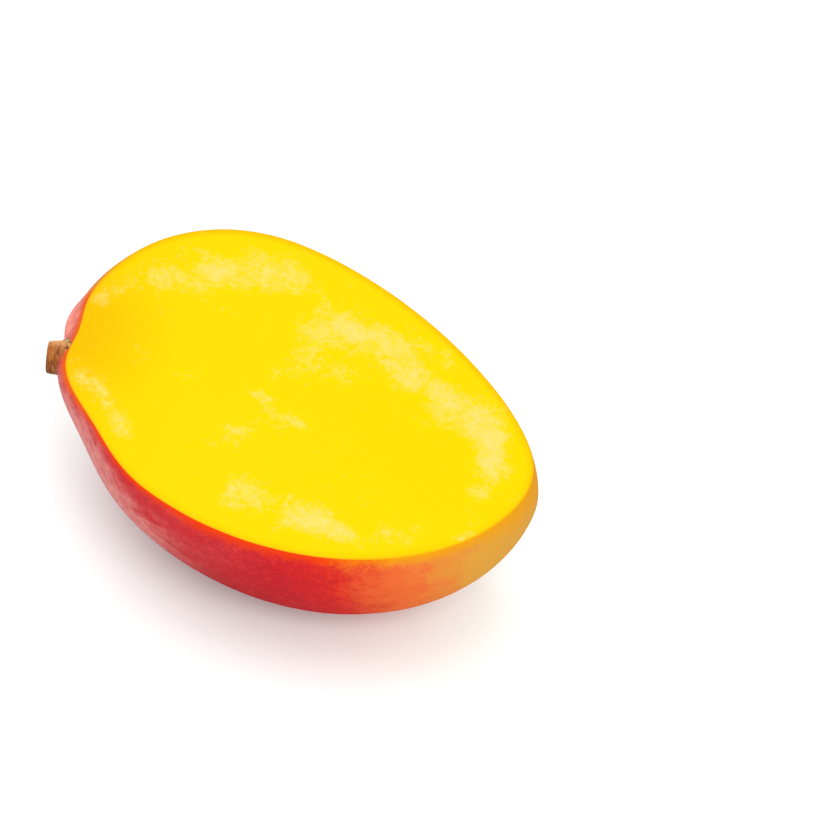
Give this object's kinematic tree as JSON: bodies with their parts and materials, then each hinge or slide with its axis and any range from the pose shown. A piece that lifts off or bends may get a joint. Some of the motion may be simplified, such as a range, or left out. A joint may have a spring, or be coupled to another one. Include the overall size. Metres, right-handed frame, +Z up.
{
  "type": "cut palmer mango",
  "caption": "Large oval ripe mango with one cheek sliced off flat, lying on its rounded back with the cut up and a short woody stalk.",
  "frame": {"origin": "on the resting plane, below the centre of the outline seen from above", "axes": "+X from the stalk towards the tip of the fruit, +Y towards the raised rear edge of the cut, +Z up"},
  "size_m": [0.1312, 0.0958, 0.0669],
  "materials": {
    "flesh_and_skin": "satin waxy skin, moist smooth cut flesh",
    "stalk_wood": "rough dry wood"
  },
  "bodies": {
    "root": {"mango": "flesh_and_skin", "stalk": "stalk_wood"}
  },
  "joints": []
}
